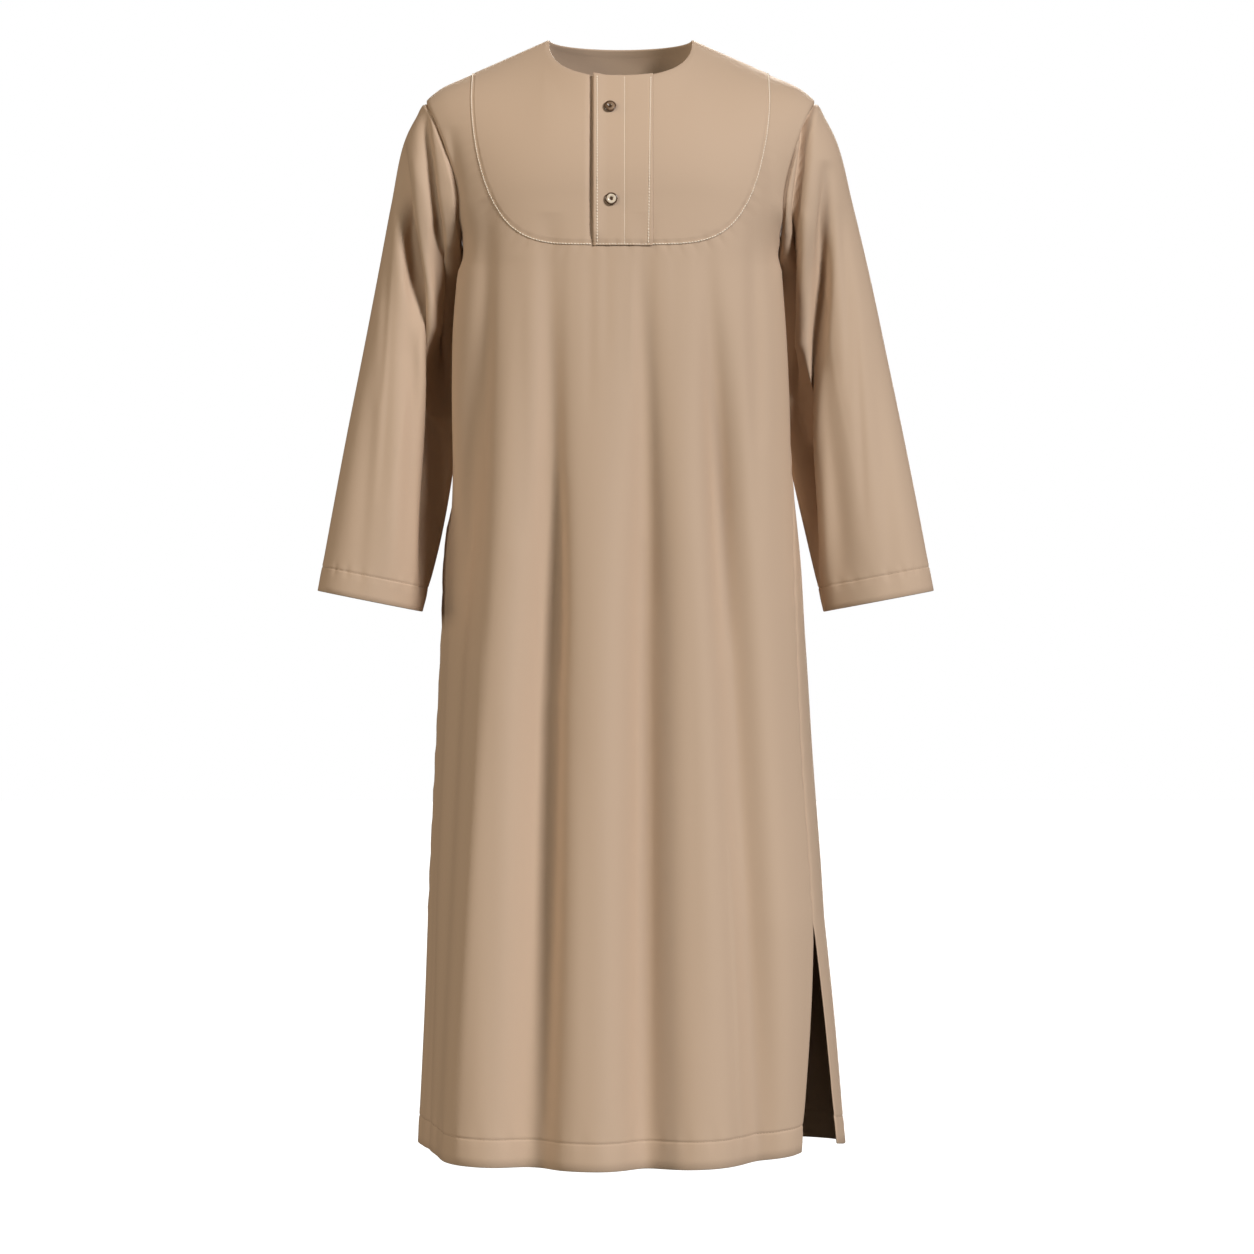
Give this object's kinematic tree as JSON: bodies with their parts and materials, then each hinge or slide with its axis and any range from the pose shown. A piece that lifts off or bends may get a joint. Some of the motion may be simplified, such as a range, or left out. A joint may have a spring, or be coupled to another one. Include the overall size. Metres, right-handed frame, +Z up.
{
  "type": "thobe robe",
  "caption": "Long collarless robe with a U-shaped bib, a button placket, set-in sleeves and side slits, filled out as when worn.",
  "frame": {"origin": "midway between the shoulders, halfway down the shoulder seams, where the wearer's shoulders hold the robe", "axes": "+Z up, -Y the robe's front, +X the wearer's left"},
  "size_m": [0.7375, 0.3107, 1.3369],
  "materials": {
    "cloth": "smooth plain weave with a slight sheen",
    "thread": "twisted cream sewing thread",
    "button": "polished horn-like"
  },
  "bodies": {
    "root": {"front": "cloth", "back": "cloth", "sleeve_left": "cloth", "sleeve_right": "cloth", "bib_left": "cloth", "bib_right": "cloth", "placket": "cloth", "placket_underlap": "cloth", "button_upper": "button", "button_lower": "button"}
  },
  "joints": []
}
